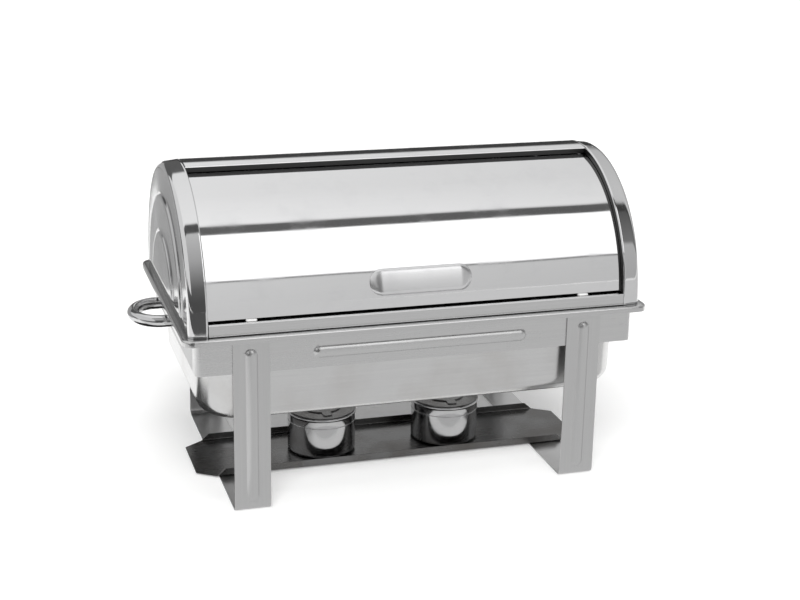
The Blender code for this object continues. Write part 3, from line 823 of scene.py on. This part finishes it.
def dee_ring(radius, base, x, count=97):
    """A D on its back: an arc about the roll axis and a straight lower edge.

    It has the same number of points whatever its size, so that rings join up.
    """
    lowest = degrees(asin((base - AXIS_Z) / radius))
    ring = [on_arch(x, radius, lowest + (180 - 2 * lowest) * i / (count - 1)) for i in range(count)]
    first, last = ring[0], ring[-1]
    for k in range(1, 24):
        ring.append((x, last[1] + (first[1] - last[1]) * k / 24, last[2]))
    return ring


for side, sign in (("left", -1), ("right", 1)):
    drop = AXIS_Z - LID_Z
    section = [(sign * x, r) for x, r in hoop_section]
    hoop = as_piece(f"{side}_hoop", *over_lid(section, 0, 180, 1.5, drop, drop), polished_lid)
    # The inward faces of the inner lip get the near-black painted shade.
    paint_shade_on_faces(hoop, painted_shade_lip, lambda at, out: abs(at.x) < HOOP_IN + 0.0002 and out.x * sign < -0.9)
    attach(hoop, "lid_frame")
    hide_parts(f"{side}_arch_hoop")

    faces_out = [dee_ring(r, LID_Z + up, sign * (HOOP_OUT + out)) for r, up, out in DEE_STEPS]
    faces_in = [
        dee_ring(r, LID_Z + up, sign * (HOOP_OUT + out - LID_SHEET)) for r, up, out in DEE_STEPS
    ]
    # The plate gets the darker polished steel, a painted shade.
    plate = as_piece(f"{side}_end_plate", *skin(faces_in[::-1] + faces_out), polished_end_painted_darker, edge=50)
    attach(plate, "lid_frame")
    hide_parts(f"{side}_end_panel")


# ---- fixed rear of the lid -----------------------------------------------------------------------
# A polished quarter drum closes the back, a folded rail edges the opening above it, a sill lies
# under the rolling cover, and an angle stiffens the rear lower edge. All are soldered to the hoops.

half = HOOP_IN - 0.0003
drop = AXIS_Z - LID_Z
columns = spread(-half, half, 0.02)
shell = [(x, ARCH_R) for x in columns] + [(x, ARCH_R - LID_SHEET) for x in columns[::-1]]
rear = as_piece("rear_drum", *over_lid(shell, 88.11, 180, 1.5, 0, drop), polished_lid)
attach(rear, "lid_frame")
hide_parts("rear_cover")

path = [on_arch(0, HOOP_LIP_R, 81.8)[1:], on_arch(0, ARCH_R - 0.0014, 81.8)[1:]]
path += [on_arch(0, r, a)[1:] for r, a in ((ARCH_R - 0.0006, 81.95), (ARCH_R - 0.0001, 82.25))]
path += [on_arch(0, ARCH_R, angle)[1:] for angle in spread(82.6, 88.0, 0.9)]
outline = thick([(y, z) for y, z in path][::-1], LID_SHEET)
rings = [[(x, y, z) for y, z in outline] for x in columns]
rail = as_piece("opening_rail", *skin(rings), polished_lid, rounding=0.0002)
# The rail's front-facing wall gets the near-black painted shade.
paint_shade_on_faces(rail, painted_shade_lip, lambda at, out: out.y < -0.95 and at.z < AXIS_Z + ARCH_R - 0.002)
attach(rail, "lid_frame")
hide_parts("top_rail")

low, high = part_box("front_sill")
satin_sill = brushed_steel("satin_steel_sill", 0.60, 0.18, grain=(6, 420, 420))
path = [(high.y - 0.002, high.z)]
path += arc(low.y + 0.0012, high.z - 0.0012, 0.0012, 90, 180, 5)
path += arc(low.y + 0.0012, low.z + 0.0012, 0.0012, 180, 270, 5)
path.append((high.y, low.z))
outline = thick(path, LID_SHEET)
rings = [[(x, y, z) for y, z in outline] for x in columns]
sill = as_piece("cover_sill", *skin(rings), satin_sill, rounding=0.0002)
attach(sill, "lid_frame")
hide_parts("front_sill")

refinish("rear_stiffener", satin_long)

white_nylon = matt_surface("white_nylon_moulded", 0.80, 0.42, 300)
for side in ("left", "right"):
    low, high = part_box(f"{side}_cover_bumper")
    middle = (low + high) / 2
    half_size = (high - low) / 2
    levels = [(0.0, -1.0), (0.0, 0.5), (0.0005, 0.85), (0.0012, 1.0)]
    rings = []
    for inset, up in levels:
        ring = rounded_ring(half_size.x - inset, half_size.y - inset, 0.0018 - inset * 0.4, 0)
        rings.append([(middle.x + x, middle.y + y, middle.z + half_size.z * up) for x, y, _ in ring])
    block = as_piece(f"{side}_stop", *skin(rings), white_nylon, edge=60)
    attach(block, "lid_frame")
    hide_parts(f"{side}_cover_bumper")


# ---- rolling cover -------------------------------------------------------------------------------
# A mirror-polished quarter drum that rolls back under the fixed one. A pressed pull is welded on
# low down, and a quarter-round plate closes each end and turns on a stud inside the end plate.

ROLL_R, ROLL_HALF = 0.160, 0.264
columns = [-ROLL_HALF, *spread(-0.2635, 0.2635, 0.0155), ROLL_HALF]
shell = [(x, ROLL_R) for x in columns] + [(x, ROLL_R - LID_SHEET) for x in columns[::-1]]
polished_cover = polished_steel("polished_steel_cover", 0.76, 0.04)
cover = as_piece("rolling_drum", *over_lid(shell, 4.3, 91.0, 1.2), polished_cover, rounding=0.0003)
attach(cover, "rolling_cover")
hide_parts("roll_cover")

PULL_ANGLE, PULL_HALF_X, PULL_HALF_S = 15.7, 0.065, 0.0165
PULL_RISE, PULL_LEAN = 0.0052, 0.0011  # it stands furthest out along its lower edge
PULL_EDGE, PULL_END = 0.0062, 0.016  # its rounding along the edges, and its longer run-out at the ends
rings = []
spine = PULL_HALF_X - PULL_HALF_S
for share in (1.0, 0.985, 0.96, 0.92, 0.87, 0.81, 0.74, 0.66, 0.57, 0.47, 0.36, 0.24, 0.12, 0.02):
    ring = []
    ends = arc(0, 0, 1, -90, 90, 24) + arc(0, 0, 1, 90, 270, 24)
    for k, (cos_part, sin_part) in enumerate(ends):
        sign = 1 if k < 25 else -1
        ring.append((sign * spine + PULL_HALF_S * share * cos_part, PULL_HALF_S * share * sin_part))
        if k in (24, 49):
            for step in range(1, 30):
                ring.append((sign * spine * (1 - step / 15), ring[-1][1]))
    points = []
    for x, s in ring:
        edge = PULL_HALF_S * (1 - share)
        from_end = max(0.0, PULL_HALF_X - abs(x))
        rounded = sqrt(1 - (1 - min(1.0, edge / PULL_EDGE)) ** 2)
        lift = rounded * sin(pi / 2 * min(1.0, from_end / PULL_END))
        rise = (PULL_RISE - PULL_LEAN * s / PULL_HALF_S) * lift
        points.append(on_arch(x, ROLL_R + 0.0003 + rise, PULL_ANGLE + degrees(s / ROLL_R)))
    rings.append(points)
polished_pull = polished_steel("polished_steel_pull", 0.78, 0.27)
pull = as_piece("cover_pull", *skin(rings), polished_pull, edge=70)
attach(pull, "rolling_cover")
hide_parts("roll_cover_grip")

satin_side = brushed_steel("satin_steel_side", 0.50, 0.26, grain=(420, 420, 9))
for side in ("left", "right"):
    for name, material in (
        ("cover_side", satin_side),
        ("pivot_stud", satin_deep),
        ("pivot_nut", satin_deep),
        ("pivot_washer", white_nylon),
    ):
        refinish(f"{side}_{name}", material)


# ---- burners -------------------------------------------------------------------------------------
# Two spun fuel cups with a rolled edge. Each has a drop-in cover ring with a round mouth, and a
# flat shutter that swings over the mouth on one rivet to damp the flame.


def turned_rings(profile, centre_x, centre_y=0.0, steps=72):
    """The rings of a spun piece from its (radius, height) profile."""
    return [
        [
            (centre_x + r * cos(2 * pi * i / steps), centre_y + r * sin(2 * pi * i / steps), z)
            for i in range(steps)
        ]
        for r, z in profile
    ]


CUP_R, CUP_TOP, CUP_WALL = 0.045, 0.0595, 0.0012
spun_cup = polished_steel("polished_steel_burner", 0.50, 0.11)
spun_ring = brushed_steel("satin_steel_burner", 0.26, 0.24, grain=(160, 160, 160), dull=0.6)
for side, sign in (("left", -1), ("right", 1)):
    low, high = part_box(f"{side}_burner_cup")
    centre = (low.x + high.x) / 2
    profile = [(CUP_R - 0.0045, low.z)]
    profile += arc(CUP_R - 0.0042, low.z + 0.0042, 0.0042, -80, 0, 7)
    profile += [(CUP_R, z) for z in (0.018, 0.030, 0.0452)]
    profile += arc(CUP_R, 0.0460, 0.0006, 270, 90, 6)
    profile += [(CUP_R, z) for z in (0.0468, CUP_TOP - 0.0052)]
    profile += [(CUP_R + 0.0004, CUP_TOP - 0.0042)]
    profile += arc(CUP_R, CUP_TOP - 0.0019, 0.0018, -60, 170, 12)
    profile += [(CUP_R - CUP_WALL, CUP_TOP - 0.003), (CUP_R - CUP_WALL, low.z + 0.006)]
    profile += [(CUP_R - CUP_WALL - 0.003, low.z + CUP_WALL)]
    profile += [(0.02, low.z + CUP_WALL), (0.004, low.z + CUP_WALL)]
    profile = [(0.004, low.z), (0.036, low.z)] + profile
    cup = as_piece(f"{side}_fuel_cup", *skin(turned_rings(profile, centre)), spun_cup, edge=50)
    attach(cup, f"{side}_burner")
    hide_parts(f"{side}_burner_cup")

    low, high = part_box(f"{side}_burner_cover")
    base = CUP_TOP + 0.0003
    skirt = CUP_R - CUP_WALL - 0.0003
    profile = [(0.022, base), (0.0216, base + 0.0006), (0.022, high.z - 0.0002), (0.0226, high.z)]
    profile += [(0.030, high.z), (0.040, high.z), (CUP_R - 0.0005, high.z)]
    profile += [(CUP_R, high.z - 0.0005), (CUP_R - 0.0002, base)]
    profile += [(skirt, base), (skirt, low.z), (skirt - CUP_WALL, low.z), (skirt - CUP_WALL, base)]
    ring = as_piece(
        f"{side}_cup_ring", *skin(turned_rings(profile, centre), closed=True), spun_ring, edge=40
    )
    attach(ring, f"{side}_burner_lid")
    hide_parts(f"{side}_burner_cover")
    for name in ("burner_shutter", "shutter_rivet"):
        refinish(f"{side}_{name}", spun_ring)
